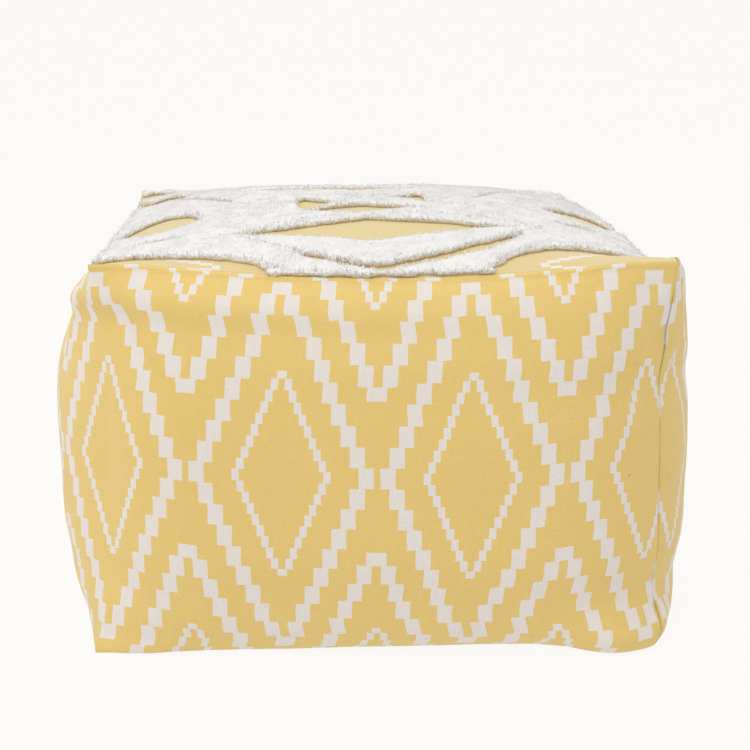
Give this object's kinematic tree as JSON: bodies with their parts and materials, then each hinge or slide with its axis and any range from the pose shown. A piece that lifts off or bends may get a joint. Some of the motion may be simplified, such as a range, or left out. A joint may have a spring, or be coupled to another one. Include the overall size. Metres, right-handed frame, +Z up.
{
  "type": "upholstered pouf",
  "caption": "Soft square pouf: printed stepped-diamond side band, crowned top panel with raised cut-pile bands in a diamond lattice, flat plain base.",
  "frame": {"origin": "middle of the flat base, on the floor", "axes": "+Z up, -Y towards the front face, +X to the right seen from the front"},
  "size_m": [0.6154, 0.5863, 0.3828],
  "materials": {
    "printed_twill": "matte",
    "plain_twill": "matte",
    "pile_yarn": "matte"
  },
  "bodies": {
    "root": {"side_band_body": "printed_twill", "top_panel": "printed_twill", "base_panel": "plain_twill", "tuft_field": "pile_yarn", "tuft_ring_front": "pile_yarn", "tuft_ring_mid": "pile_yarn", "tuft_ring_back": "pile_yarn"}
  },
  "joints": []
}
